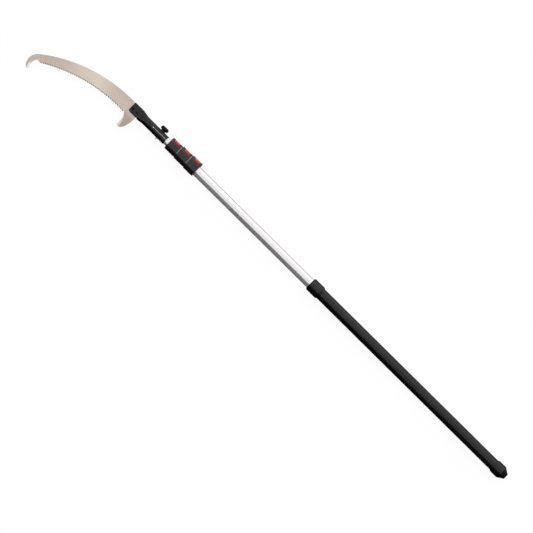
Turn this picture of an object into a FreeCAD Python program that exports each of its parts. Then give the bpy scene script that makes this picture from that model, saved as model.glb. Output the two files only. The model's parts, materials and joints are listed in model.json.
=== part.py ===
import FreeCAD, Part
import Sketcher
import math
import os
import re

# Telescoping pole saw, collapsed and lying flat.
#
# +X runs along the pole from the butt to the tip of the blade, +Y is the side the saw teeth
# face, and +Z is square to the blade.  The origin is the pole's axis at the butt's end face.
# Lengths are in millimetres and angles in degrees.

Vector = FreeCAD.Vector

DIMENSIONS = {
    # Nested oval tubes: flats of half-length oval_flat between round sides.
    "oval_flat": 5.0,
    "outer_radius": 16.5,
    "tube_wall": 1.4,
    "tube_step": 1.83,
    "seat_gap": 0.05,
    "slide_gap": 0.35,
    "outer_tube_start": 20.0,
    "guide_start": 64.0,
    "guide_flange": 4.0,
    "guide_depth": 20.0,
    "guide_pitch": 26.0,
    "vent_radius": 4.0,
    # Grip and end cap.
    "cap_length": 65.0,
    "cap_radius": 23.5,
    "cap_slope_end": 25.5,
    "cap_nose_end": 7.0,
    "cap_nose_radius": 11.5,
    "cap_face_radius": 7.5,
    "cap_lip": 7.0,
    "cap_lip_radius": 20.5,
    "plug_depth": 38.0,
    "grip_radius": 19.5,
    "grip_front": 1099.0,
    "bell_rear": 1039.5,
    "bell_slope": 6.0,
    "bell_round": 8.5,
    # Clamp collars.
    "collar_start": 1739.0,
    "collar_length": 49.6,
    "ring_length": 3.6,
    "ring_inset": 1.2,
    "stop_gap": 0.3,
    "tube_seat": 22.0,
    "collar_round": 1.6,
    # Lever notch and its hinge, measured from the hinge pin.
    "notch_margin": 10.5,
    "hinge_gap": 0.3,
    "barrel_radius": 4.0,
    "lever_inset": 0.8,
    "lever_reach": 24.8,
    "notch_reach": 25.7,
    "lever_inner": 5.0,
    "lever_chamfer": 3.0,
    "rib_radius": 1.1,
    "rib_sink": 0.6,
    "rib_first": 4.0,
    "rib_pitch": 3.0,
    "cam_radius": 5.2,
    "cam_lead": 2.6,
    "cam_flat": 1.4,
    "cam_trail": 3.0,
    "notch_floor": 5.6,
    # How far the notch goes below the pole's axis.  Under it the collar is whole.
    "notch_depth": 13.0,
    "lug_half_width": 5.7,
    "lug_gap": 0.4,
    "lug_relief": 4.6,
    "pin_radius": 1.5,
    "pin_half_length": 12.0,
    "pin_play": 0.05,
    "pin_press": 0.02,
    "window_rear": 7.0,
    "window_front": 3.5,
    "window_half_width": 12.0,
    "shoe_gap": 0.2,
    # Screws that hold the collars and the end cap from below.
    "screw_radius": 1.6,
    "screw_head_radius": 3.2,
    "screw_head_depth": 1.8,
    "screw_sink": 0.4,
    "slot_half_length": 2.0,
    "slot_half_width": 0.4,
    "screw_first": 6.5,
    "screw_pitch": 9.0,
    "socket_play": 0.1,
    # Blade socket.
    "socket_start": 1911.0,
    "socket_radius": 13.5,
    "socket_straight": 2025.0,
    "socket_flare": 2056.0,
    "flare_low": 24.0,
    "flare_high": 22.0,
    "plate_front": 2104.0,
    "plate_rear": 2056.0,
    "plate_low": 24.0,
    "plate_high": 19.2,
    "plate_thickness": 15.0,
    "plate_round": 8.0,
    "plate_edge_round": 1.5,
    "plate_chamfer": 2.0,
    "fork_floor": 2058.0,
    "inner_tube_end": 2016.0,
    "slit_centre": 3.0,
    "slit_width": 1.1,
    "slit_end": 1984.0,
    "slit_hole_radius": 2.2,
    # Clamp screw of the socket.
    "stud_station": 1946.0,
    "stud_radius": 3.0,
    "stud_chamfer": 0.8,
    "stud_in_knob": 8.0,
    "stud_play": 0.3,
    "thread_play": 0.05,
    "stud_tip": 25.0,
    "boss_radius": 10.8,
    "boss_face": 19.2,
    "nut_boss_radius": 8.0,
    "nut_boss_face": 19.0,
    "nut_across": 10.0,
    "nut_length": 2.2,
    "washer_thickness": 1.2,
    "knob_neck_radius": 10.4,
    "knob_neck": 1.8,
    "knob_radius": 17.9,
    "knob_height": 17.6,
    "knob_crown_radius": 6.5,
    "flute_radius": 3.0,
    "flute_sink": 1.0,
    "flute_count": 12,
    # Blade.
    "blade_thickness": 1.8,
    "fork_gap": 0.1,
    "spine_x": 2124.8,
    "spine_y": 619.3,
    "spine_radius": 642.1,
    "spine_end": 2517.0,
    "edge_x": 2142.9,
    "edge_y": 705.1,
    "edge_radius": 669.1,
    "tooth_depth": 4.8,
    "tooth_count": 41,
    "tooth_rake": 0.3,
    "facet_width": 3.2,
    "facet_depth": 0.8,
    "heel_x": 2116.0,
    "toe_x": 2489.0,
    "tang_rear": 2061.0,
    "bevel_width": 8.0,
    "bevel_depth": 0.65,
    # Blade bolts.
    "bolt_front": 2094.0,
    "bolt_rear": 2072.0,
    "bolt_y": 1.0,
    "bolt_radius": 3.0,
    "bolt_play": 0.2,
    "bolt_head_radius": 4.8,
    "bolt_head_height": 2.6,
    "bolt_head_round": 1.4,
    "bolt_drive_depth": 1.2,
    "bolt_end": 1.5,
    "bolt_nut_across": 10.0,
    "bolt_nut_height": 4.0,
}

# Outline of the hook at the heel, from the first tooth round to the tang, and of the hook at the
# toe, from the end of the spine round to the last tooth.  A point with two pairs is an arc's
# middle and its end.
HEEL_HOOK = [(2114.0, 35.0), ((2103.2, 47.5), (2098.6, 66.0)), ((2097.7, 79.0), (2098.6, 90.8)),
             ((2098.2, 93.0), (2096.4, 93.9)), (2086.2, 93.9), ((2073.5, 81.0), (2067.0, 63.0)),
             ((2063.6, 47.0), (2062.2, 30.0)), (2062.0, 22.0), (2061.0, 16.0)]
TOE_HOOK = [((2534.2, 148.0), (2518.6, 183.6)), ((2511.2, 184.2), (2508.2, 178.0)),
            ((2513.8, 158.0), (2508.2, 137.0)), ((2507.0, 135.0), (2504.8, 134.2))]

# Where each hook's inner edge is ground: three points of the line that the grinding starts from,
# then the opposite corners of the region that it stays in.
HEEL_GRIND = (((2113.5, 35.3), (2092.0, 66.0), (2089.0, 93.9)), (2080.0, 35.0), (2114.2, 95.0))
TOE_GRIND = (((2509.0, 134.0), (2520.2, 156.0), (2513.0, 184.5)), (2498.0, 137.0), (2535.0, 186.0))

# Each collar: how far its outline reaches to the lever side and to the tooth side, half its
# thickness and its corner radius.
COLLARS = {
    "lower": (36.5, 28.5, 23.5, 21.0),
    "middle": (34.5, 27.0, 22.3, 20.0),
    "upper": (31.5, 25.0, 21.0, 19.0),
}
for collar, outline in COLLARS.items():
    for side, size in zip(("low", "high", "half", "corner"), outline):
        DIMENSIONS[f"{collar}_{side}"] = size

doc = FreeCAD.newDocument("PoleSaw")
sheet = doc.addObject("Spreadsheet::Sheet", "Dimensions")
for row, (alias, size) in enumerate(DIMENSIONS.items(), start=1):
    sheet.set(f"A{row}", alias)
    sheet.set(f"B{row}", str(size))
    sheet.setAlias(f"B{row}", alias)
doc.recompute()

subparts = []


# ---------------------------------------------------------------- document helpers

def cells(formula):
    """Point each dimension's name in a formula at its cell."""
    def cell(word):
        name = word.group()
        return "Dimensions." + name if name in DIMENSIONS else name
    return re.sub(r"[a-z][a-z_]*", cell, str(formula))


def value(formula):
    """Work a formula out from the sheet."""
    return float(sheet.evalExpression(cells(formula)))


def bind(thing, setting, formula):
    thing.setExpression(setting, cells(formula))


def new_body(label):
    body = doc.addObject("PartDesign::Body", label)
    body.Label = label
    subparts.append(body)
    return body


def new_sketch(body, role, station="0"):
    """A sketch on one of the body's own planes, moved along its normal to station."""
    sketch = body.newObject("Sketcher::SketchObject", body.Label + "_sketch")
    plane = [item for item in body.Origin.OriginFeatures if item.Role == role][0]
    sketch.AttachmentSupport = [(plane, "")]
    sketch.MapMode = "FlatFace"
    bind(sketch, "AttachmentOffset.Base.z", station)
    return sketch


def rule(sketch, formula, *constraint):
    """Add a size to a sketch, bound to a formula."""
    index = sketch.addConstraint(Sketcher.Constraint(*constraint, value(formula)))
    bind(sketch, f"Constraints[{index}]", formula)


def place_point(sketch, element, point, x, y):
    rule(sketch, x, "DistanceX", -1, 1, element, point)
    rule(sketch, y, "DistanceY", -1, 1, element, point)


def draw_polygon(sketch, corners):
    """A closed polygon whose corners are pairs of formulas."""
    first = sketch.GeometryCount
    points = [Vector(value(x), value(y), 0) for x, y in corners]
    for start, end in zip(points, points[1:] + points[:1]):
        sketch.addGeometry(Part.LineSegment(start, end), False)
    for step in range(len(corners)):
        following = first + (step + 1) % len(corners)
        sketch.addConstraint(Sketcher.Constraint("Coincident", first + step, 2, following, 1))
        place_point(sketch, first + step, 1, *corners[step])


def draw_circle(sketch, x, y, radius):
    circle = Part.Circle(Vector(value(x), value(y), 0), Vector(0, 0, 1), value(radius))
    element = sketch.addGeometry(circle, False)
    rule(sketch, radius, "Radius", element)
    place_point(sketch, element, 3, x, y)


def draw_line(sketch, start, end):
    sketch.addGeometry(Part.LineSegment(Vector(*start, 0), Vector(*end, 0)), False)


def arc(x, y, radius, start, end):
    circle = Part.Circle(Vector(x, y, 0), Vector(0, 0, 1), radius)
    return Part.ArcOfCircle(circle, math.radians(start), math.radians(end))


def draw_oval(sketch, radius, low="oval_flat", high="oval_flat"):
    """Two flats along Y between round sides, about the pole's axis."""
    first = sketch.GeometryCount
    size = value(radius)
    left = -value(low)
    right = value(high)
    draw_line(sketch, (left, size), (right, size))
    sketch.addGeometry(arc(right, 0, size, -90, 90), False)
    draw_line(sketch, (right, -size), (left, -size))
    sketch.addGeometry(arc(left, 0, size, 90, 270), False)
    for one, other in (((0, 2), (1, 2)), ((1, 1), (2, 1)), ((2, 2), (3, 2)), ((3, 1), (0, 1))):
        pair = (first + one[0], one[1], first + other[0], other[1])
        sketch.addConstraint(Sketcher.Constraint("Tangent", *pair))
    sketch.addConstraint(Sketcher.Constraint("Equal", first + 1, first + 3))
    sketch.addConstraint(Sketcher.Constraint("PointOnObject", first + 1, 3, -1))
    sketch.addConstraint(Sketcher.Constraint("PointOnObject", first + 3, 3, -1))
    rule(sketch, radius, "Radius", first + 1)
    rule(sketch, high, "DistanceX", -1, 1, first + 1, 3)
    rule(sketch, low, "DistanceX", first + 3, 3, -1, 1)


def draw_rounded_box(sketch, low, high, half, corner):
    """A box from -low to high and from -half to half, with round corners."""
    first = sketch.GeometryCount
    left = -value(low)
    right = value(high)
    top = value(half)
    size = value(corner)
    draw_line(sketch, (left + size, top), (right - size, top))
    sketch.addGeometry(arc(right - size, top - size, size, 0, 90), False)
    draw_line(sketch, (right, size - top), (right, top - size))
    sketch.addGeometry(arc(right - size, size - top, size, 270, 360), False)
    draw_line(sketch, (left + size, -top), (right - size, -top))
    sketch.addGeometry(arc(left + size, size - top, size, 180, 270), False)
    draw_line(sketch, (left, size - top), (left, top - size))
    sketch.addGeometry(arc(left + size, top - size, size, 90, 180), False)
    joints = (((0, 2), (1, 2)), ((2, 2), (1, 1)), ((2, 1), (3, 2)), ((4, 2), (3, 1)),
              ((4, 1), (5, 2)), ((6, 1), (5, 1)), ((6, 2), (7, 2)), ((0, 1), (7, 1)))
    for one, other in joints:
        pair = (first + one[0], one[1], first + other[0], other[1])
        sketch.addConstraint(Sketcher.Constraint("Tangent", *pair))
    for element in (3, 5, 7):
        sketch.addConstraint(Sketcher.Constraint("Equal", first + 1, first + element))
    for element, direction in ((0, "Horizontal"), (4, "Horizontal"), (2, "Vertical"), (6, "Vertical")):
        sketch.addConstraint(Sketcher.Constraint(direction, first + element))
    rule(sketch, corner, "Radius", first + 1)
    rule(sketch, high, "DistanceX", -1, 1, first + 2, 1)
    rule(sketch, low, "DistanceX", first + 6, 1, -1, 1)
    rule(sketch, half, "DistanceY", -1, 1, first, 1)
    rule(sketch, half, "DistanceY", first + 4, 1, -1, 1)


def extrude(body, kind, sketch, length, both):
    feature = body.newObject("PartDesign::" + kind, f"{body.Label}_{kind.lower()}")
    feature.Profile = sketch
    feature.SideType = "Symmetric" if both else "One side"
    feature.Reversed = kind == "Pocket"
    bind(feature, "Length", length)
    sketch.Visibility = False
    return feature


def pad(body, sketch, length, both=False):
    return extrude(body, "Pad", sketch, length, both)


def pocket(body, sketch, length, both=False):
    """Cut along the sketch's normal, and make sure that material goes."""
    doc.recompute()
    before = body.Shape.Volume
    feature = extrude(body, "Pocket", sketch, length, both)
    doc.recompute()
    if body.Shape.Volume > before - 1e-3:
        raise RuntimeError(f"{feature.Name} cuts nothing")
    return feature


def loft(body, sketches):
    feature = body.newObject("PartDesign::AdditiveLoft", body.Label + "_loft")
    feature.Profile = sketches[0]
    feature.Sections = sketches[1:]
    feature.Ruled = True
    return feature


def turn(body, sketch):
    """Turn a profile about its vertical axis."""
    feature = body.newObject("PartDesign::Revolution", body.Label + "_turn")
    feature.Profile = sketch
    feature.ReferenceAxis = (sketch, ["V_Axis"])
    feature.Angle = 360
    return feature


def fillet(body, edges, radius):
    base = body.Tip
    feature = body.newObject("PartDesign::Fillet", body.Label + "_round")
    feature.Base = (base, edges)
    bind(feature, "Radius", radius)
    return feature


def round_ends(body, stations, radius):
    """Round the outer edges that lie wholly in the planes X = station."""
    doc.recompute()
    shape = body.Shape
    names = []
    for index, edge in enumerate(shape.Edges, start=1):
        box = edge.BoundBox
        for station in stations:
            if abs(box.XMin - station) < 1e-4 and abs(box.XMax - station) < 1e-4:
                names.append(f"Edge{index}")
    return fillet(body, names, radius)


def oval_prism(body, start, length, radius):
    sketch = new_sketch(body, "YZ_Plane", start)
    draw_oval(sketch, radius)
    return pad(body, sketch, length)


def oval_hole(body, start, length, radius):
    sketch = new_sketch(body, "YZ_Plane", start)
    draw_oval(sketch, radius)
    return pocket(body, sketch, length)


def block_cut(body, x_low, x_high, y_low, y_high, width):
    """Cut a block that lies evenly about the plane Z = 0."""
    sketch = new_sketch(body, "XY_Plane")
    draw_polygon(sketch, [(x_low, y_low), (x_high, y_low), (x_high, y_high), (x_low, y_high)])
    return pocket(body, sketch, width, both=True)


# ---------------------------------------------------------------- screws from below

def screw_stations(start):
    return [f"{start} + screw_first", f"{start} + screw_first + screw_pitch"]


def screw_holes(body, start, half, depth):
    """Countersunk holes in an underside at Z = -half."""
    holes = new_sketch(body, "XY_Plane", f"-({half})")
    sinks = new_sketch(body, "XY_Plane", f"-({half})")
    for station in screw_stations(start):
        draw_circle(holes, station, "0", "screw_radius + socket_play")
        draw_circle(sinks, station, "0", "screw_head_radius + socket_play")
    pocket(body, holes, depth)
    pocket(body, sinks, "screw_head_depth + screw_sink")


def make_screws(label, start, half, length):
    """A pair of screws, heads down, just inside an underside at Z = -half."""
    body = new_body(label)
    heads = new_sketch(body, "XY_Plane", f"-({half}) + screw_sink")
    shanks = new_sketch(body, "XY_Plane", f"-({half}) + screw_sink")
    for station in screw_stations(start):
        draw_circle(heads, station, "0", "screw_head_radius")
        draw_circle(shanks, station, "0", "screw_radius")
    drives = new_sketch(body, "XY_Plane", f"-({half}) + screw_sink")
    for station in screw_stations(start):
        left = f"{station} - slot_half_length"
        right = f"{station} + slot_half_length"
        draw_polygon(drives, [(left, "-slot_half_width"), (right, "-slot_half_width"),
                              (right, "slot_half_width"), (left, "slot_half_width")])
    body.AllowCompound = True
    pad(body, shanks, length)
    pad(body, heads, "screw_head_depth")
    pocket(body, drives, "screw_head_depth / 2")


# ---------------------------------------------------------------- tubes and their guides

def tube_radius(place):
    """Outside radius of the tube at a place in the nest, 0 being the outermost."""
    return f"(outer_radius - {place} * tube_step)"


def guide_face(place):
    """Where the guide at the rear of a nested tube starts."""
    return f"(guide_start + {place - 1} * guide_pitch)"


def make_tube(label, place, start, end, screw_from=None):
    body = new_body(label)
    sketch = new_sketch(body, "YZ_Plane", start)
    draw_oval(sketch, tube_radius(place))
    draw_oval(sketch, f"{tube_radius(place)} - tube_wall")
    pad(body, sketch, f"{end} - ({start})")
    for begin in screw_from or []:
        holes = new_sketch(body, "XY_Plane", f"-{tube_radius(place)} - 1")
        for station in screw_stations(begin):
            draw_circle(holes, station, "0", "screw_radius + socket_play")
        pocket(body, holes, "tube_wall + 2")
    return body


def make_guide(label, place):
    """The plug that runs in the next tube out: a flange behind the tube and a stem in it."""
    body = new_body(label)
    start = guide_face(place)
    inside = f"{tube_radius(place)} - tube_wall - seat_gap"
    oval_prism(body, start, "guide_flange", f"{tube_radius(place)} + 0.1")
    oval_prism(body, start, "guide_flange + guide_depth", inside)
    sketch = new_sketch(body, "YZ_Plane", start)
    draw_circle(sketch, "0", "0", "vent_radius")
    pocket(body, sketch, "guide_flange + guide_depth")


# ---------------------------------------------------------------- butt end

def oval_loft(body, stages):
    """Tapering oval through the given stations, each with its radius."""
    sections = []
    for station, radius in stages:
        sketch = new_sketch(body, "YZ_Plane", station)
        draw_oval(sketch, radius)
        sections.append(sketch)
    loft(body, sections)


def make_end_cap():
    body = new_body("end_cap")
    oval_prism(body, "cap_slope_end", "cap_length - cap_lip - cap_slope_end", "cap_radius")
    oval_loft(body, (("cap_slope_end", "cap_radius"), ("cap_nose_end", "cap_nose_radius"),
                     ("0", "cap_face_radius")))
    oval_loft(body, (("cap_length - cap_lip", "cap_radius"), ("cap_length", "cap_lip_radius")))
    oval_hole(body, "outer_tube_start", "cap_length - outer_tube_start", "outer_radius + seat_gap")
    screw_holes(body, "cap_slope_end", "cap_radius", "cap_radius - outer_radius + 2")


def make_butt_plug():
    body = new_body("butt_plug")
    oval_prism(body, "outer_tube_start", "plug_depth", "outer_radius - tube_wall - seat_gap")
    sketch = new_sketch(body, "XY_Plane", "-outer_radius")
    for station in screw_stations("cap_slope_end"):
        draw_circle(sketch, station, "0", "screw_radius + socket_play")
    pocket(body, sketch, "8")


def make_grip():
    """Rubber sleeve that swells into a bell at its front."""
    body = new_body("grip_sleeve")
    oval_prism(body, "cap_length", "bell_rear - cap_length", "grip_radius")
    oval_loft(body, (("bell_rear", "grip_radius"), ("bell_rear + bell_slope", "cap_radius")))
    oval_prism(body, "bell_rear + bell_slope", "grip_front - bell_rear - bell_slope", "cap_radius")
    round_ends(body, [value("grip_front")], "bell_round")
    oval_hole(body, "cap_length - 1", "grip_front - cap_length + 2", "outer_radius + seat_gap")


# ---------------------------------------------------------------- clamp collars

def collar_start(place):
    """Rear face of a collar: 0 lower, 1 middle, 2 upper."""
    pitch = "(collar_length + stop_gap + ring_length)"
    return f"(collar_start + {place} * {pitch})"


def pin_x(place):
    return f"({collar_start(place)} + collar_length - notch_margin - hinge_gap - barrel_radius)"


def pin_y(name):
    return f"(lever_inset + barrel_radius - {name}_low)"


def make_collar(name, place):
    """Collar with a seat for its own tube, a bore for the next and a notch for its lever."""
    body = new_body(f"{name}_collar")
    start = collar_start(place)
    hinge_x = pin_x(place)
    hinge_y = pin_y(name)
    outline = new_sketch(body, "YZ_Plane", start)
    draw_rounded_box(outline, f"{name}_low", f"{name}_high", f"{name}_half", f"{name}_corner")
    pad(body, outline, "collar_length")
    first = value(start)
    round_ends(body, [first, first + value("collar_length")], "collar_round")
    oval_hole(body, start, "tube_seat", f"{tube_radius(place)} + seat_gap")
    oval_hole(body, start, "collar_length", f"{tube_radius(place + 1)} + slide_gap")
    notch = new_sketch(body, "XY_Plane", "-notch_depth")
    rear = f"{hinge_x} - notch_reach"
    edge = f"{hinge_x} + barrel_radius + hinge_gap"
    outside = f"-{name}_low - 2"
    floor = f"{hinge_y} + notch_floor"
    draw_polygon(notch, [(rear, outside), (edge, outside), (edge, floor), (rear, floor)])
    pocket(body, notch, f"notch_depth + 2 * {name}_half")
    block_cut(body, f"{hinge_x} - window_rear", f"{hinge_x} + window_front",
              f"{hinge_y} + notch_floor - 1", "-5", "2 * window_half_width")
    barrel = new_sketch(body, "XY_Plane")
    draw_circle(barrel, hinge_x, hinge_y, "barrel_radius")
    pad(body, barrel, "2 * lug_half_width", both=True)
    root = new_sketch(body, "XY_Plane")
    front = f"{hinge_x} + barrel_radius + hinge_gap + 2"
    near = f"{hinge_y} - barrel_radius"
    far = f"{hinge_y} + barrel_radius"
    draw_polygon(root, [(hinge_x, near), (front, near), (front, far), (hinge_x, far)])
    pad(body, root, "2 * lug_half_width", both=True)
    bore = new_sketch(body, "XY_Plane")
    draw_circle(bore, hinge_x, hinge_y, "pin_radius + pin_press")
    pocket(body, bore, f"4 * {name}_half", both=True)
    screw_holes(body, start, f"{name}_half", f"{name}_half - {tube_radius(place)} + 2")


def make_lever(name, place):
    """Flip lever: a paddle that fills the notch, a hinge barrel and a cam on its inner side."""
    body = new_body(f"{name}_lever")
    hinge_x = pin_x(place)
    hinge_y = pin_y(name)
    paddle = new_sketch(body, "XY_Plane")
    rear = f"{hinge_x} - lever_reach"
    outer = f"{hinge_y} - barrel_radius"
    inner = f"{hinge_y} + lever_inner"
    draw_polygon(paddle, [(rear, outer), (hinge_x, outer), (hinge_x, inner),
                          (f"{rear} + lever_chamfer", inner), (rear, f"{inner} - lever_chamfer")])
    pad(body, paddle, f"4 * {name}_half", both=True)
    barrel = new_sketch(body, "XY_Plane")
    draw_circle(barrel, hinge_x, hinge_y, "barrel_radius")
    pad(body, barrel, f"4 * {name}_half", both=True)
    cam = new_sketch(body, "XY_Plane")
    draw_polygon(cam, [(hinge_x, hinge_y), (f"{hinge_x} + cam_lead", f"{hinge_y} + cam_trail"),
                       (f"{hinge_x} + cam_flat", f"{hinge_y} + cam_radius - hinge_gap"),
                       (hinge_x, f"{hinge_y} + cam_radius"),
                       (f"{hinge_x} - cam_flat", f"{hinge_y} + lever_inner"),
                       (f"{hinge_x} - cam_trail", hinge_y)])
    pad(body, cam, f"4 * {name}_half", both=True)
    around = new_sketch(body, "YZ_Plane", f"{hinge_x} - 2 * lever_reach")
    far = f"3 * {name}_half"
    draw_polygon(around, [(f"-({far})", f"-({far})"), (far, f"-({far})"), (far, far), (f"-({far})", far)])
    draw_rounded_box(around, f"{name}_low - lever_inset", f"{name}_high", f"{name}_half - lever_inset",
                     f"{name}_corner")
    pocket(body, around, "4 * lever_reach")
    gap = "(lug_half_width + lug_gap)"
    block_cut(body, f"{hinge_x} - lug_relief", f"{hinge_x} + 2 * barrel_radius",
              f"{hinge_y} - 2 * barrel_radius", f"{hinge_y} + 2 * barrel_radius", f"2 * {gap}")
    under = new_sketch(body, "XY_Plane", f"-2 * {name}_half")
    rear_end = f"{hinge_x} - 2 * lever_reach"
    front_end = f"{hinge_x} + 2 * barrel_radius"
    draw_polygon(under, [(rear_end, f"-2 * {name}_low"), (front_end, f"-2 * {name}_low"),
                         (front_end, "0"), (rear_end, "0")])
    pocket(body, under, f"2 * {name}_half - notch_depth + hinge_gap")
    bore = new_sketch(body, "XY_Plane")
    draw_circle(bore, hinge_x, hinge_y, "pin_radius + pin_play")
    pocket(body, bore, "2 * notch_depth", both=True)
    ribs = new_sketch(body, "XY_Plane")
    for step in range(4):
        draw_circle(ribs, f"{rear} + rib_first + {step} * rib_pitch",
                    f"{outer} - rib_radius + rib_sink", "rib_radius")
    pocket(body, ribs, f"4 * {name}_half", both=True)


def make_lever_pin(name, place):
    pin = doc.addObject("Part::Cylinder", f"{name}_lever_pin")
    pin.Label = pin.Name
    bind(pin, "Radius", "pin_radius")
    bind(pin, "Height", "2 * pin_half_length")
    bind(pin, "Placement.Base.x", pin_x(place))
    bind(pin, "Placement.Base.y", pin_y(name))
    bind(pin, "Placement.Base.z", "-pin_half_length")
    subparts.append(pin)


def make_shoe(name, place):
    """Brake shoe in the collar's window, hollowed to suit the tube that it presses on."""
    body = new_body(f"{name}_shoe")
    hinge_x = pin_x(place)
    sketch = new_sketch(body, "XY_Plane")
    rear = f"{hinge_x} - window_rear + shoe_gap"
    front = f"{hinge_x} + window_front - shoe_gap"
    top = f"{pin_y(name)} + cam_radius + hinge_gap"
    draw_polygon(sketch, [(rear, top), (front, top), (front, "-10"), (rear, "-10")])
    pad(body, sketch, "2 * (window_half_width - shoe_gap)", both=True)
    oval_hole(body, f"{rear} - 1", "window_rear + window_front + 2", f"{tube_radius(place + 1)} + slide_gap")


def make_stop_ring(name, place):
    """Bright ring on the rear face of a collar, that meets the collar behind it."""
    body = new_body(f"{name}_ring")
    sketch = new_sketch(body, "YZ_Plane", f"{collar_start(place)} - ring_length")
    draw_rounded_box(sketch, f"{name}_low - ring_inset", f"{name}_high - ring_inset",
                     f"{name}_half - ring_inset", f"{name}_corner - ring_inset")
    draw_oval(sketch, f"{tube_radius(place)} + seat_gap")
    pad(body, sketch, "ring_length")


# ---------------------------------------------------------------- blade socket and its clamp

def make_socket():
    body = new_body("blade_socket")
    oval_prism(body, "socket_start", "socket_straight - socket_start", "socket_radius")
    round_ends(body, [value("socket_start")], "plate_edge_round")
    straight = new_sketch(body, "YZ_Plane", "socket_straight")
    draw_oval(straight, "socket_radius")
    flare = new_sketch(body, "YZ_Plane", "socket_flare")
    draw_oval(flare, "plate_thickness / 2", "flare_low - plate_thickness / 2",
              "flare_high - plate_thickness / 2")
    loft(body, [straight, flare])
    plate = new_sketch(body, "XY_Plane")
    draw_polygon(plate, [("plate_rear", "-plate_low"), ("plate_front - plate_chamfer", "-plate_low"),
                         ("plate_front", "plate_chamfer - plate_low"),
                         ("plate_front", "plate_high - plate_round"),
                         ("plate_front - 0.13 * plate_round", "plate_high - 0.5 * plate_round"),
                         ("plate_front - 0.5 * plate_round", "plate_high - 0.13 * plate_round"),
                         ("plate_front - plate_round", "plate_high"), ("plate_rear", "plate_high")])
    pad(body, plate, "plate_thickness", both=True)
    for radius, face, nut_side in (("boss_radius", "boss_face", False),
                                   ("nut_boss_radius", "nut_boss_face", True)):
        boss = new_sketch(body, "XZ_Plane")
        draw_circle(boss, "stud_station", "0", radius)
        pad(body, boss, face).Reversed = nut_side
    oval_hole(body, "socket_start", "inner_tube_end - socket_start + 1", f"{tube_radius(3)} + seat_gap")
    slit_low = "-slit_centre - slit_width / 2"
    slit_high = "-slit_centre + slit_width / 2"
    slit = new_sketch(body, "XY_Plane")
    draw_polygon(slit, [("socket_start - 1", slit_low), ("slit_end", slit_low),
                        ("slit_end", slit_high), ("socket_start - 1", slit_high)])
    pocket(body, slit, "socket_radius + 1")
    relief = new_sketch(body, "XY_Plane")
    draw_circle(relief, "slit_end", "-slit_centre", "slit_hole_radius")
    pocket(body, relief, "socket_radius + 1")
    block_cut(body, "fork_floor", "plate_front + 1", "-plate_low - 5", "plate_high + 10",
              "blade_thickness + 2 * fork_gap")
    bore = new_sketch(body, "XZ_Plane", "-nut_boss_face - 1")
    draw_circle(bore, "stud_station", "0", "stud_radius + stud_play")
    pocket(body, bore, "nut_boss_face + boss_face + 3")
    nut_seat = new_sketch(body, "XZ_Plane", "-nut_boss_face")
    draw_hexagon(nut_seat, "stud_station", "0", "nut_across + 2 * socket_play")
    pocket(body, nut_seat, "nut_length + 0.2")
    bolts = new_sketch(body, "XY_Plane")
    for station in ("bolt_rear", "bolt_front"):
        draw_circle(bolts, station, "bolt_y", "bolt_radius + bolt_play")
    pocket(body, bolts, "2 * plate_thickness", both=True)


def draw_hexagon(sketch, x, y, across):
    corners = []
    for step in range(6):
        turned = math.radians(60 * step)
        reach = f"({across}) / 2 / {math.cos(math.pi / 6)}"
        corners.append((f"{x} + {reach} * {math.cos(turned)}", f"{y} + {reach} * {math.sin(turned)}"))
    draw_polygon(sketch, corners)


def across_pole(station):
    """Placement that turns a piece made along +Z so that it points to -Y from the pole's axis."""
    return FreeCAD.Placement(Vector(value(station), 0, 0), FreeCAD.Rotation(Vector(1, 0, 0), 90))


def make_clamp_stud():
    """Threaded bolt across the socket, from inside the knob to a bare tip."""
    body = new_body("clamp_stud")
    sketch = new_sketch(body, "XZ_Plane")
    head = "boss_face + washer_thickness + stud_in_knob"
    draw_polygon(sketch, [("0", "-stud_tip"), ("stud_radius - stud_chamfer", "-stud_tip"),
                          ("stud_radius", "stud_chamfer - stud_tip"), ("stud_radius", head), ("0", head)])
    turn(body, sketch)
    body.Placement = across_pole("stud_station")


def make_clamp_washer():
    body = new_body("clamp_washer")
    sketch = new_sketch(body, "XY_Plane", "boss_face + 0.05")
    draw_circle(sketch, "0", "0", "knob_neck_radius - 0.5")
    draw_circle(sketch, "0", "0", "stud_radius + thread_play")
    pad(body, sketch, "washer_thickness - 0.1")
    body.Placement = across_pole("stud_station")


def make_clamp_nut():
    body = new_body("clamp_nut")
    sketch = new_sketch(body, "XY_Plane", "-nut_boss_face + 0.1")
    draw_hexagon(sketch, "0", "0", "nut_across")
    draw_circle(sketch, "0", "0", "stud_radius + thread_play")
    pad(body, sketch, "nut_length")
    body.Placement = across_pole("stud_station")


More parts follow.
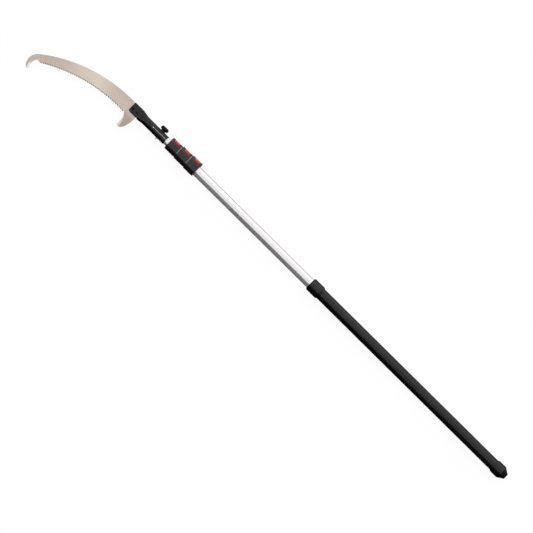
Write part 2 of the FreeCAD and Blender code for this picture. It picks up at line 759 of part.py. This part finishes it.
def make_clamp_knob():
    """Domed hand knob with a waisted neck and finger flutes round its rim."""
    body = new_body("clamp_knob")
    base = "(boss_face + washer_thickness)"
    sketch = new_sketch(body, "XZ_Plane")
    draw_polygon(sketch, [("0", base), ("knob_neck_radius", base),
                          ("knob_neck_radius", f"{base} + knob_neck"),
                          ("knob_radius - 2", f"{base} + knob_neck + 0.6"),
                          ("knob_radius - 0.4", f"{base} + knob_neck + 2.6"),
                          ("knob_radius", f"{base} + knob_neck + 5"),
                          ("knob_radius", f"{base} + knob_height - 7"),
                          ("knob_radius - 1", f"{base} + knob_height - 3.8"),
                          ("knob_radius - 3.4", f"{base} + knob_height - 1.3"),
                          ("knob_radius - knob_crown_radius", f"{base} + knob_height - 0.2"),
                          ("0", f"{base} + knob_height")])
    turn(body, sketch)
    socket = new_sketch(body, "XY_Plane", f"{base} - 1")
    draw_circle(socket, "0", "0", "stud_radius")
    pocket(body, socket, "stud_in_knob + 1")
    flute = new_sketch(body, "XY_Plane", f"{base} + knob_neck")
    draw_circle(flute, "knob_radius + flute_radius - flute_sink", "0", "flute_radius")
    cut = pocket(body, flute, "knob_height")
    ring = body.newObject("PartDesign::PolarPattern", "clamp_knob_flutes")
    ring.Originals = [cut]
    ring.Axis = (flute, ["N_Axis"])
    ring.Angle = 360
    bind(ring, "Occurrences", "flute_count")
    body.Tip = ring
    body.Placement = across_pole("stud_station")


# ---------------------------------------------------------------- blade and its bolts

def on_arc(centre_x, centre_y, radius, angle):
    """A point at an angle from straight down (-Y) about a centre."""
    return Vector(centre_x + radius * math.sin(angle), centre_y - radius * math.cos(angle), 0)


def saw_teeth():
    """Corner points of the teeth, from the heel to the toe, raked back to cut on the pull."""
    centre = (value("edge_x"), value("edge_y"))
    radius = value("edge_radius")
    depth = value("tooth_depth")
    count = int(value("tooth_count"))
    start = math.asin((value("heel_x") - centre[0]) / radius)
    end = math.asin((value("toe_x") - centre[0]) / radius)
    pitch = (end - start) / count
    points = []
    for tooth in range(count):
        root = start + tooth * pitch
        points.append(on_arc(*centre, radius + depth / 2, root))
        points.append(on_arc(*centre, radius - depth / 2, root + value("tooth_rake") * pitch))
    points.append(on_arc(*centre, radius + depth / 2, end))
    return points


def trace(start, *steps):
    """Edges from a point on through lines and arcs."""
    edges = []
    here = Vector(*start, 0)
    for step in steps:
        if isinstance(step[0], tuple):
            middle, end = [Vector(*point, 0) for point in step]
            edges.append(Part.Arc(here, middle, end).toShape())
        else:
            end = Vector(*step, 0)
            edges.append(Part.makeLine(here, end))
        here = end
    return edges


def grind(solid, line, corner, far_corner):
    """Grind both faces down from an arc through three points, within a box, to a thin edge."""
    circle = Part.Circle(*[Vector(x, y, 0) for x, y in line])
    centre = circle.Center
    width = value("bevel_width")
    depth = value("bevel_depth")
    face = value("blade_thickness") / 2
    base = Vector(centre.x, centre.y, face - depth)
    cone = Part.makeCone(circle.Radius - width, circle.Radius + width / 2, 1.5 * depth, base)
    size = [far - near for near, far in zip(corner, far_corner)]
    region = Part.makeBox(*size, 4 * face, Vector(*corner, -2 * face))
    upper = cone.common(region)
    lower = upper.mirror(Vector(0, 0, 0), Vector(0, 0, 1))
    return solid.cut(upper).cut(lower)


def tooth_facet(start, end, side):
    """Wedge that grinds a tooth's flank, from tip to root: side 1 is the long flank's upper face
    and side -1 the short flank's lower face."""
    width = value("facet_width")
    depth = value("facet_depth")
    face = value("blade_thickness") / 2
    along = (end - start).normalize()
    inward = Vector(along.y, -along.x, 0) * side
    clear = 0.05
    fall = depth / width
    section = [(-clear, face - depth - clear * fall), (width + clear, face + clear * fall),
               (-clear, face + clear * fall)]
    corners = [start + inward * reach + Vector(0, 0, side * height) for reach, height in section]
    triangle = Part.Face(Part.makePolygon(corners + corners[:1]))
    return triangle.extrude(end - start)


def make_blade():
    """Curved pruning blade with a hook at each end of its teeth."""
    thickness = value("blade_thickness")
    teeth = saw_teeth()
    heel = (teeth[0].x, teeth[0].y)
    toe = (teeth[-1].x, teeth[-1].y)
    spine = (value("spine_x"), value("spine_y"), value("spine_radius"))
    ends = [math.asin((value(station) - spine[0]) / spine[2]) for station in ("tang_rear", "spine_end")]
    back = [on_arc(*spine, angle) for angle in (ends[0], sum(ends) / 2, ends[1])]
    edges = [Part.makeLine(one, other) for one, other in zip(teeth, teeth[1:])]
    edges += trace(heel, *HEEL_HOOK, (value("tang_rear"), back[0].y))
    edges += [Part.Arc(*back).toShape()]
    edges += trace((back[2].x, back[2].y), *TOE_HOOK, toe)
    outline = Part.Wire(Part.__sortEdges__(edges))
    solid = Part.Face(outline).extrude(Vector(0, 0, thickness))
    solid.translate(Vector(0, 0, -thickness / 2))
    for station in ("bolt_rear", "bolt_front"):
        centre = Vector(value(station), value("bolt_y"), -thickness)
        hole = Part.makeCylinder(value("bolt_radius + bolt_play"), 2 * thickness, centre)
        solid = solid.cut(hole)
    facets = []
    for tip in range(1, len(teeth) - 1, 2):
        facets.append(tooth_facet(teeth[tip], teeth[tip + 1], 1))
        facets.append(tooth_facet(teeth[tip], teeth[tip - 1], -1))
    solid = solid.cut(facets)
    solid = grind(solid, *HEEL_GRIND)
    solid = grind(solid, *TOE_GRIND)
    blade = doc.addObject("Part::Feature", "blade")
    blade.Label = "blade"
    blade.Shape = solid
    blade.Placement = FreeCAD.Placement()
    subparts.append(blade)


def make_blade_bolts():
    """Two button-headed bolts down through the fork."""
    body = new_body("blade_bolts")
    body.AllowCompound = True
    top = "plate_thickness / 2"
    heads = new_sketch(body, "XY_Plane", top)
    shanks = new_sketch(body, "XY_Plane", f"-({top}) - bolt_nut_height - bolt_end")
    drives = new_sketch(body, "XY_Plane", f"{top} + bolt_head_height - bolt_drive_depth")
    for station in ("bolt_rear", "bolt_front"):
        draw_circle(heads, station, "bolt_y", "bolt_head_radius")
        draw_circle(shanks, station, "bolt_y", "bolt_radius")
        draw_hexagon(drives, station, "bolt_y", "bolt_radius")
    pad(body, shanks, "plate_thickness + bolt_nut_height + bolt_end + 0.5")
    pad(body, heads, "bolt_head_height")
    pocket(body, drives, "2")
    doc.recompute()
    crown = value(top + " + bolt_head_height")
    rims = []
    for index, edge in enumerate(body.Shape.Edges, start=1):
        round_edge = isinstance(edge.Curve, Part.Circle)
        outer = edge.BoundBox.XLength > value("1.9 * bolt_head_radius")
        if round_edge and outer and abs(edge.BoundBox.ZMin - crown) < 1e-4:
            rims.append(f"Edge{index}")
    fillet(body, rims, "bolt_head_round")


def make_blade_nuts():
    body = new_body("blade_nuts")
    body.AllowCompound = True
    sketch = new_sketch(body, "XY_Plane", "-plate_thickness / 2 - bolt_nut_height - 0.02")
    for station in ("bolt_rear", "bolt_front"):
        draw_hexagon(sketch, station, "bolt_y", "bolt_nut_across")
        draw_circle(sketch, station, "bolt_y", "bolt_radius + socket_play")
    pad(body, sketch, "bolt_nut_height")


# ---------------------------------------------------------------- the whole saw

def make_all():
    make_tube("outer_tube", 0, "outer_tube_start", f"({collar_start(0)} + tube_seat - 0.5)",
              ["cap_slope_end", collar_start(0)])
    make_end_cap()
    make_butt_plug()
    make_screws("end_cap_screws", "cap_slope_end", "cap_radius", "cap_radius - outer_radius + 6")
    make_grip()
    for place, name in enumerate(COLLARS):
        make_collar(name, place)
        make_lever(name, place)
        make_lever_pin(name, place)
        make_shoe(name, place)
        length = f"{name}_half - {tube_radius(place)} + tube_wall - screw_sink - 0.1"
        make_screws(f"{name}_collar_screws", collar_start(place), f"{name}_half", length)
    for place, name, ring in ((1, "second", "middle"), (2, "third", "upper")):
        seat = f"({collar_start(place)} + tube_seat - 0.5)"
        make_tube(f"{name}_tube", place, f"{guide_face(place)} + guide_flange", seat, [collar_start(place)])
        make_guide(f"{name}_guide", place)
        make_stop_ring(ring, place)
    make_inner_tube()
    make_guide("inner_guide", 3)
    make_socket()
    make_clamp_stud()
    make_clamp_washer()
    make_clamp_nut()
    make_clamp_knob()
    make_blade()
    make_blade_bolts()
    make_blade_nuts()


def make_inner_tube():
    body = make_tube("inner_tube", 3, f"{guide_face(3)} + guide_flange", "inner_tube_end")
    bore = new_sketch(body, "XZ_Plane", "-outer_radius")
    draw_circle(bore, "stud_station", "0", "stud_radius + stud_play")
    pocket(body, bore, "2 * outer_radius")


def check_all():
    for item in doc.Objects:
        if "Invalid" in item.State or "Error" in item.State:
            raise RuntimeError(f"{item.Name} failed: {item.State}")
    for item in subparts:
        if item.Shape.isNull() or not item.Shape.isValid():
            raise RuntimeError(f"{item.Label} has a bad shape")


def write_all():
    os.makedirs("parts", exist_ok=True)
    for item in subparts:
        item.Shape.exportStep(f"parts/{item.Label}.step")


make_all()
doc.recompute()
check_all()
write_all()
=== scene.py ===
import json
import math

import bpy
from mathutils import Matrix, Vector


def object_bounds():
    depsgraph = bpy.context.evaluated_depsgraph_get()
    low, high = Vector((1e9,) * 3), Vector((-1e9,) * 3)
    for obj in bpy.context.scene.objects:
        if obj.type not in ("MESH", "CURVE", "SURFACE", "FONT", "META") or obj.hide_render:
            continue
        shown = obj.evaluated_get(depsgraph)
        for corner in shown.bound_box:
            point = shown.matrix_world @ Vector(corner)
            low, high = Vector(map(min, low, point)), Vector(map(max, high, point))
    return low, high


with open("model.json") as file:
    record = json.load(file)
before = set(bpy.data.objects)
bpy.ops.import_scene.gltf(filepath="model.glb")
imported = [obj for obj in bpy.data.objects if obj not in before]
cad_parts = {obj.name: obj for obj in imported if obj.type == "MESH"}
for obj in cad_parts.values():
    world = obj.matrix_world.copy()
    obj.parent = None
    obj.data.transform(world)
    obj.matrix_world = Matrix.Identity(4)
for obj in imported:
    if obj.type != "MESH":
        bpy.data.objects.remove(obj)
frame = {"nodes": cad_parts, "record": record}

cad_box = [list(corner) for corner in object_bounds()]
nodes = frame["nodes"]

# Metres.  +X runs along the pole to the blade, +Y is the teeth's side, +Z is up.

# The teeth lie on an arc about this centre.
BLADE_CENTRE = (2.1429, 0.7051)
BLADE_RADIUS = 0.6691

# Zones of the blade's painted highlights and painted shade, each from where a change of tone begins
# to where it is complete.
HIGHLIGHT_FROM_HEEL_X = (2.17, 2.27)
HIGHLIGHT_FROM_TOE_X = (2.46, 2.36)
TOE_SHADE_X = (2.38, 2.50)
HOOK_SHADE_X = (2.118, 2.108)
HOOK_SHADE_Y = (0.020, 0.040)
FIRST_TOOTH_X = (2.116, 2.117)
LAST_TOOTH_X = (2.490, 2.488)
TOOTH_RADIUS = (BLADE_RADIUS + 0.004, BLADE_RADIUS + 0.001)

# The inner edge of each of the two hooks, sharpened by grinding: three points of the arc where the
# grinding starts, and how far it reaches along X. The blade's colour is lightened there as a
# painted highlight, and its roughness lowered.
HEEL_GRIND = ((2.1135, 0.0353), (2.0920, 0.0660), (2.0890, 0.0939))
HEEL_GRIND_X = (2.080, 2.1142)
TOE_GRIND = ((2.5090, 0.1340), (2.5202, 0.1560), (2.5130, 0.1845))
TOE_GRIND_X = (2.498, 2.535)
GRIND_Y = (0.033, 0.045)
# The width over which the grinding fades, at the arc and at each end along X.
GRIND_EDGE = 0.0006
GRIND_END = 0.0005

# The camera looks straight down; the centre and width are of what it sees at Z = 0.
VIEW_CENTRE = (1.271, 0.0750)
VIEW_WIDTH = 2.132
VIEW_TURN = 180.0 + 44.68
LENS = 135.0
SENSOR = 36.0

FLOOR_CENTRE_X = 1.3
FLOOR_SIZE = 40.0
FLOOR_GLOW = 0.93

# Light from each direction: where a fade begins and ends, and its strength there.
LIGHT_Y = (0.02, 0.16, 1.14, 0.03)
LIGHT_Z = (-0.40, -0.10, 0.18, 1.0)
LIGHT_ENDS = (0.70, 0.88, 1.0, 0.12)

MAP_LEVELS = ("From Min", "From Max", "To Min", "To Max")


def circle_through(one, two, three):
    """Centre and radius of the circle through three points."""
    ax, ay = one
    bx, by = two
    cx, cy = three
    turn = 2.0 * (ax * (by - cy) + bx * (cy - ay) + cx * (ay - by))
    a, b, c = ax * ax + ay * ay, bx * bx + by * by, cx * cx + cy * cy
    x = (a * (by - cy) + b * (cy - ay) + c * (ay - by)) / turn
    y = (a * (cx - bx) + b * (ax - cx) + c * (bx - ax)) / turn
    return x, y, math.hypot(ax - x, ay - y)


# ---------------------------------------------------------------- shader helpers

class Shader:
    """A node material with short names for the nodes it needs."""

    def __init__(self, name):
        self.material = bpy.data.materials.new(name)
        self.material.use_nodes = True
        self.tree = self.material.node_tree
        self.surface = self.tree.nodes["Principled BSDF"]
        self.place = self.node("ShaderNodeTexCoord").outputs["Object"]

    def node(self, kind, **settings):
        made = self.tree.nodes.new(kind)
        for name, value in settings.items():
            setattr(made, name, value)
        return made

    def link(self, source, target):
        """Join a socket to another, or set it when the source is a plain number."""
        if isinstance(source, (int, float)):
            target.default_value = source
        else:
            self.tree.links.new(source, target)

    def fixed(self, **sockets):
        """Set plain values on the shader's own sockets."""
        for name, value in sockets.items():
            self.surface.inputs[name.replace("_", " ")].default_value = value

    def math(self, operation, one, two=0.0, three=0.0):
        made = self.node("ShaderNodeMath", operation=operation)
        for source, target in zip((one, two, three), made.inputs):
            self.link(source, target)
        return made.outputs[0]

    def product(self, first, *others):
        result = first
        for other in others:
            result = self.math("MULTIPLY", result, other)
        return result

    def stretch(self, scale, source=None):
        """The object's coordinates, or others, scaled on each axis."""
        made = self.node("ShaderNodeMapping")
        made.inputs["Scale"].default_value = scale
        self.link(source or self.place, made.inputs["Vector"])
        return made.outputs[0]

    def noise(self, scale, detail=4.0, roughness=0.55, place=None):
        made = self.node("ShaderNodeTexNoise")
        self.link(place or self.place, made.inputs["Vector"])
        made.inputs["Scale"].default_value = scale
        made.inputs["Detail"].default_value = detail
        made.inputs["Roughness"].default_value = roughness
        return made.outputs["Fac"]

    def cells(self, scale):
        made = self.node("ShaderNodeTexVoronoi", feature="F1")
        self.link(self.place, made.inputs["Vector"])
        made.inputs["Scale"].default_value = scale
        return made.outputs["Distance"]

    def spread(self, source, low, high, out_low=0.0, out_high=1.0):
        """Stretch the part of a value between low and high, and hold it level outside."""
        made = self.node("ShaderNodeMapRange")
        made.clamp = True
        self.link(source, made.inputs["Value"])
        for name, value in zip(MAP_LEVELS, (low, high, out_low, out_high)):
            made.inputs[name].default_value = value
        return made.outputs[0]

    def blend(self, amount, one, two):
        """Mix two colours, each a tuple or a socket."""
        made = self.node("ShaderNodeMix", data_type="RGBA")
        self.link(amount, made.inputs[0])
        for colour, target in ((one, made.inputs[6]), (two, made.inputs[7])):
            if isinstance(colour, tuple):
                target.default_value = (*colour, 1.0)
            else:
                self.tree.links.new(colour, target)
        return made.outputs[2]

    def axis(self, name):
        made = self.node("ShaderNodeSeparateXYZ")
        self.link(self.place, made.inputs[0])
        return made.outputs[name]

    def zone(self, name, limits):
        """From 0 to 1 between two stations of an axis."""
        return self.spread(self.axis(name), *limits)

    def distance(self, x, y):
        """How far a point of the object is from a line along Z."""
        across = self.math("SUBTRACT", self.axis("X"), x)
        up = self.math("SUBTRACT", self.axis("Y"), y)
        square = self.math("MULTIPLY_ADD", across, across, self.math("MULTIPLY", up, up))
        return self.math("SQRT", square)

    def colour(self, source):
        self.link(source, self.surface.inputs["Base Color"])

    def rough(self, *parts):
        """Set the roughness to the sum of one or two values."""
        total = parts[0] if len(parts) == 1 else self.math("ADD", *parts)
        self.link(total, self.surface.inputs["Roughness"])

    def bump(self, height, distance, strength, under=None):
        made = self.node("ShaderNodeBump")
        made.inputs["Distance"].default_value = distance
        made.inputs["Strength"].default_value = strength
        self.link(height, made.inputs["Height"])
        if under is not None:
            self.link(under, made.inputs["Normal"])
        self.link(made.outputs[0], self.surface.inputs["Normal"])
        return made.outputs[0]


# ---------------------------------------------------------------- materials

def tube_aluminium():
    """Drawn and lightly anodised: die lines along the pole, rubbed patches and a few scratches."""
    s = Shader("tube_aluminium")
    s.fixed(Metallic=0.60)
    lines = s.noise(1.0, 5.0, 0.6, s.stretch((1.5, 900.0, 900.0)))
    patches = s.noise(9.0, 4.0, 0.6, s.stretch((0.6, 3.0, 3.0)))
    scratches = s.noise(1.0, 2.0, 0.5, s.stretch((14.0, 1900.0, 500.0)))
    marks = s.spread(scratches, 0.68, 0.72)
    tone = s.blend(s.spread(patches, 0.3, 0.7), (0.97, 0.935, 0.945), (1.0, 0.98, 0.985))
    s.colour(s.blend(s.product(marks, 0.35), tone, (0.62, 0.625, 0.63)))
    s.rough(s.spread(lines, 0.3, 0.7, 0.15, 0.22), s.spread(patches, 0.35, 0.75, 0.0, 0.08))
    s.bump(lines, 0.00003, 0.35)
    return s.material


def ring_aluminium():
    """Turned ring: lines round the pole."""
    s = Shader("ring_aluminium")
    s.fixed(Metallic=1.0)
    lines = s.noise(1.0, 4.0, 0.6, s.stretch((2600.0, 6.0, 6.0)))
    dull = s.noise(120.0, 3.0)
    s.colour(s.blend(s.spread(dull, 0.35, 0.7), (0.215, 0.205, 0.20), (0.27, 0.26, 0.25)))
    s.rough(s.spread(lines, 0.3, 0.7, 0.24, 0.40))
    s.bump(lines, 0.00004, 0.5)
    return s.material


def moulded(name, dark, worn, rough, grain, depth, sheen):
    """Moulded plastic: spark-eroded grain, slow unevenness and dry scuffs."""
    s = Shader(name)
    s.fixed(Specular_IOR_Level=sheen)
    texture = s.noise(grain, 3.0, 0.6)
    pits = s.cells(grain * 0.7)
    slow = s.noise(24.0, 3.0)
    scuffs = s.spread(s.noise(1.0, 4.0, 0.65, s.stretch((160.0, 900.0, 500.0))), 0.60, 0.78)
    s.colour(s.blend(s.product(scuffs, s.spread(slow, 0.4, 0.7)), dark, worn))
    s.rough(s.spread(slow, 0.3, 0.7, *rough), s.spread(texture, 0.3, 0.7, -0.03, 0.05))
    first = s.bump(texture, depth, 0.6)
    second = s.bump(pits, depth * 0.6, 0.4, first)
    s.bump(s.noise(110.0, 2.0), 0.0009, 0.5, second)
    return s.material


def grip_rubber():
    """Soft rubber: fine matt skin, long flow streaks and handling shine."""
    s = Shader("grip_rubber")
    s.fixed(Specular_IOR_Level=0.52)
    skin = s.noise(2600.0, 3.0, 0.6)
    flow = s.noise(1.0, 4.0, 0.6, s.stretch((5.0, 120.0, 120.0)))
    hand = s.noise(6.0, 3.0, 0.5, s.stretch((1.0, 4.0, 4.0)))
    s.colour(s.blend(s.spread(flow, 0.35, 0.75),
                     (0.0007, 0.0007, 0.0008), (0.0035, 0.0035, 0.0037)))
    s.rough(s.spread(hand, 0.3, 0.7, 0.32, 0.46), s.spread(skin, 0.3, 0.7, -0.03, 0.04))
    s.bump(skin, 0.00012, 0.5)
    return s.material


def lever_red():
    """Red plastic, moulded with a satin skin, a few fine scratches."""
    s = Shader("lever_red")
    s.fixed(Specular_IOR_Level=0.4)
    scratch = s.spread(s.noise(1.0, 3.0, 0.6, s.stretch((300.0, 2400.0, 900.0))), 0.68, 0.76)
    slow = s.noise(60.0, 3.0)
    tone = s.blend(s.spread(slow, 0.3, 0.7), (0.76, 0.006, 0.008), (0.84, 0.014, 0.012))
    s.colour(s.blend(s.product(scratch, 0.2), tone, (0.78, 0.12, 0.11)))
    s.rough(s.spread(slow, 0.3, 0.7, 0.40, 0.50), s.product(scratch, 0.15))
    s.bump(s.noise(900.0, 2.0), 0.00008, 0.3)
    return s.material


def ground_and_highlight_mask(s):
    """Where the inner edges of the two hooks are sharpened by grinding, as a value from 0 to 1; the
    blade's colour is lightened there as a painted highlight.
    """
    hooks = []
    for line, (low, high) in ((HEEL_GRIND, HEEL_GRIND_X), (TOE_GRIND, TOE_GRIND_X)):
        centre_x, centre_y, reach = circle_through(*line)
        inside = s.spread(s.distance(centre_x, centre_y), reach + GRIND_EDGE, reach)
        hooks.append(s.product(inside, s.zone("X", (low, low + GRIND_END)),
                               s.zone("X", (high, high - GRIND_END)), s.zone("Y", GRIND_Y)))
    return s.math("MAXIMUM", *hooks)


def blade_steel():
    """Warm satin plate with grinding lines across its width, and painted light and shade in its
    colour:
    a painted highlight across the plate's centre, painted shade by the teeth, at the heel's hooked
    end and toward the toe, and a painted highlight over the grinding of the hooks' inner edges."""
    s = Shader("blade_steel")
    s.fixed(Metallic=0.8)
    x = s.math("SUBTRACT", s.axis("X"), BLADE_CENTRE[0])
    y = s.math("SUBTRACT", s.axis("Y"), BLADE_CENTRE[1])
    radius = s.distance(*BLADE_CENTRE)
    along = s.math("ARCTAN2", x, s.product(y, -1.0))
    polar = s.node("ShaderNodeCombineXYZ")
    s.link(radius, polar.inputs[0])
    s.link(along, polar.inputs[1])
    fine = s.noise(1.0, 5.0, 0.65, s.stretch((40.0, 1700.0, 1.0), polar.outputs[0]))
    streaks = s.noise(1.0, 3.0, 0.6, s.stretch((14.0, 150.0, 1.0), polar.outputs[0]))
    cloud = s.noise(22.0, 4.0, 0.55)
    broad = s.noise(5.5, 2.0, 0.5, s.stretch((1.0, 1.6, 1.0)))
    centre_highlight = s.product(s.zone("X", HIGHLIGHT_FROM_HEEL_X), s.zone("X", HIGHLIGHT_FROM_TOE_X))
    # Painted highlight: the plate's colour is lightened across its centre, made uneven by broad
    # noise.
    painted_highlight = s.math("MULTIPLY_ADD", s.spread(broad, 0.35, 0.66), 0.45, s.product(centre_highlight, 0.55))
    hook_shade = s.product(s.zone("X", HOOK_SHADE_X), s.zone("Y", HOOK_SHADE_Y))
    teeth = s.product(s.spread(radius, *TOOTH_RADIUS),
                      s.zone("X", FIRST_TOOTH_X), s.zone("X", LAST_TOOTH_X))
    ground_and_highlight = ground_and_highlight_mask(s)
    tone = s.blend(s.spread(cloud, 0.3, 0.7), (0.585, 0.478, 0.395), (0.655, 0.535, 0.447))
    for amount, colour in ((painted_highlight, (1.0, 0.90, 0.755)),
                           # Painted shade: the colour is darkened toward the toe.
                           (s.product(s.zone("X", TOE_SHADE_X), 0.5), (0.62, 0.51, 0.427)),
                           (s.spread(streaks, 0.40, 0.72, 0.0, 0.32), (0.91, 0.79, 0.67)),
                           (s.spread(fine, 0.25, 0.75, 0.0, 0.3), (0.866, 0.755, 0.644)),
                           # Painted shade over the heel's hooked end.
                           (s.product(hook_shade, 0.6), (0.455, 0.365, 0.308)),
                           # Painted shade along the teeth, in place of the dark reflections of
                           # their bevelled facets.
                           (s.product(teeth, 0.35), (0.33, 0.278, 0.233)),
                           # Painted highlight over the grinding of the hooks' inner edges.
                           (s.product(ground_and_highlight, 0.7), (1.0, 0.93, 0.81))):
        tone = s.blend(amount, tone, colour)
    s.colour(tone)
    grinding = s.math("ADD", s.spread(fine, 0.3, 0.7, 0.26, 0.36),
                      s.spread(cloud, 0.3, 0.7, 0.0, 0.06))
    s.rough(s.math("MULTIPLY_ADD", ground_and_highlight, -0.08, grinding))
    s.bump(fine, 0.00004, 0.4)
    return s.material


def steel(name, dark, light, rough):
    """Plain steel of a screw, nut, pin or bolt: fine grain over slow unevenness."""
    s = Shader(name)
    s.fixed(Metallic=1.0)
    fine = s.noise(900.0, 4.0, 0.6)
    slow = s.noise(160.0, 3.0)
    s.colour(s.blend(s.spread(slow, 0.3, 0.7), dark, light))
    s.rough(s.spread(fine, 0.3, 0.7, *rough))
    s.bump(fine, 0.00005, 0.4)
    return s.material


MATERIALS = {
    "tube_aluminium": tube_aluminium(),
    "ring_aluminium": ring_aluminium(),
    "grip_rubber": grip_rubber(),
    "lever_red": lever_red(),
    "blade_steel": blade_steel(),
    "collar_plastic": moulded(
        "collar_plastic", dark=(0.0095, 0.0050, 0.0050), worn=(0.030, 0.022, 0.021),
        rough=(0.32, 0.42), grain=2600.0, depth=0.00008, sheen=0.70),
    "socket_plastic": moulded(
        "socket_plastic", dark=(0.0010, 0.0010, 0.0010), worn=(0.012, 0.012, 0.012),
        rough=(0.28, 0.38), grain=2200.0, depth=0.00008, sheen=0.50),
    "cap_plastic": moulded(
        "cap_plastic", dark=(0.0010, 0.0012, 0.0022), worn=(0.015, 0.015, 0.018),
        rough=(0.28, 0.38), grain=2400.0, depth=0.00008, sheen=0.45),
    "knob_plastic": moulded(
        "knob_plastic", dark=(0.0015, 0.0015, 0.0018), worn=(0.020, 0.020, 0.021),
        rough=(0.24, 0.34), grain=2000.0, depth=0.00006, sheen=0.22),
    "guide_plastic": moulded(
        "guide_plastic", dark=(0.26, 0.26, 0.27), worn=(0.40, 0.40, 0.41),
        rough=(0.40, 0.55), grain=1800.0, depth=0.0001, sheen=0.5),
    "dark_steel": steel(
        "dark_steel", dark=(0.010, 0.010, 0.011), light=(0.022, 0.022, 0.023),
        rough=(0.26, 0.40)),
    "bright_steel": steel(
        "bright_steel", dark=(0.66, 0.67, 0.68), light=(0.80, 0.80, 0.81),
        rough=(0.22, 0.36)),
}


def finish_nodes():
    """Give every CAD node the material of its slot in the record."""
    for part in frame["record"]["subparts"]:
        slots = nodes[part["node"]].data.materials
        if not slots:
            slots.append(None)
        for index in range(len(slots)):
            slots[index] = MATERIALS[part["material_slot"]]


# ---------------------------------------------------------------- the set

def make_floor():
    """White paper, lit evenly enough that it hardly shows a shadow."""
    bpy.ops.mesh.primitive_plane_add(size=FLOOR_SIZE, location=(FLOOR_CENTRE_X, 0.0, cad_box[0][2]))
    floor = bpy.context.object
    floor.name = "floor"
    floor.visible_glossy = False
    s = Shader("floor_paper")
    s.colour(s.blend(s.spread(s.noise(3.0, 3.0), 0.3, 0.7), (0.10, 0.10, 0.10), (0.12, 0.12, 0.12)))
    s.fixed(Emission_Color=(1.0, 1.0, 1.0, 1.0), Emission_Strength=FLOOR_GLOW, Roughness=0.9)
    floor.data.materials.append(s.material)


def make_studio():
    """One broad soft source over the spine's side, and little light from the teeth's side,
    from the pole's ends and from below."""
    world = bpy.data.worlds.new("studio")
    bpy.context.scene.world = world
    world.use_nodes = True
    tree = world.node_tree

    def combine(operation, one, two=None):
        made = tree.nodes.new("ShaderNodeMath")
        made.operation = operation
        for source, target in zip((one, two), made.inputs):
            if source is not None:
                tree.links.new(source, target)
        return made.outputs[0]

    split = tree.nodes.new("ShaderNodeSeparateXYZ")
    tree.links.new(tree.nodes.new("ShaderNodeTexCoord").outputs["Generated"], split.inputs[0])
    strength = None
    for reach, levels in ((split.outputs["Y"], LIGHT_Y), (split.outputs["Z"], LIGHT_Z),
                          (combine("ABSOLUTE", split.outputs["X"]), LIGHT_ENDS)):
        fade = tree.nodes.new("ShaderNodeMapRange")
        tree.links.new(reach, fade.inputs["Value"])
        for name, value in zip(MAP_LEVELS, levels):
            fade.inputs[name].default_value = value
        faded = fade.outputs[0]
        strength = faded if strength is None else combine("MULTIPLY", strength, faded)
    background = tree.nodes["Background"]
    background.inputs["Color"].default_value = (1.0, 1.0, 1.0, 1.0)
    tree.links.new(strength, background.inputs["Strength"])


def make_camera():
    """Square above the saw, turned so that the pole lies along the frame's diagonal."""
    lens = bpy.data.cameras.new("camera")
    lens.lens = LENS
    lens.sensor_width = SENSOR
    camera = bpy.data.objects.new("camera", lens)
    bpy.context.collection.objects.link(camera)
    camera.location = (*VIEW_CENTRE, VIEW_WIDTH * LENS / SENSOR)
    camera.rotation_euler = (0.0, 0.0, math.radians(VIEW_TURN))
    bpy.context.scene.camera = camera


finish_nodes()
make_floor()
make_studio()
make_camera()
bpy.context.scene.view_settings.view_transform = "Standard"
